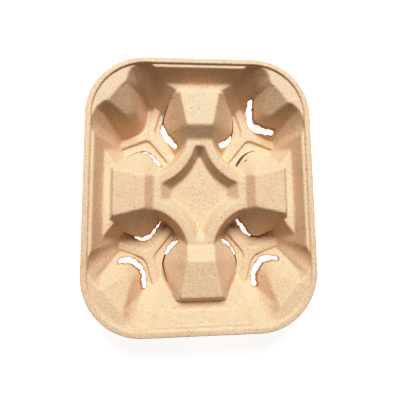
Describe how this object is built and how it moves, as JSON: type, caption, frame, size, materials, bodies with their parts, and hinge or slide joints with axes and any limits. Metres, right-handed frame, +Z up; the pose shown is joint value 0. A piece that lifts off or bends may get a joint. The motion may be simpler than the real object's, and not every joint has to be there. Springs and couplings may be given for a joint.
{
  "type": "cup carrier tray",
  "caption": "Moulded pulp cup carrier tray: rounded rectangular rim, a pocket for a cup in each quarter, raised middle with a star recess, hollow bumps between the cups.",
  "frame": {"origin": "on the table, under the middle of the tray", "axes": "+Z up out of the pockets, +Y along the longer side, +X along the shorter side"},
  "size_m": [0.185, 0.222, 0.044],
  "materials": {
    "moulded_pulp": "matte, fine felted fibre"
  },
  "bodies": {
    "root": {"carrier_tray": "moulded_pulp"}
  },
  "joints": []
}
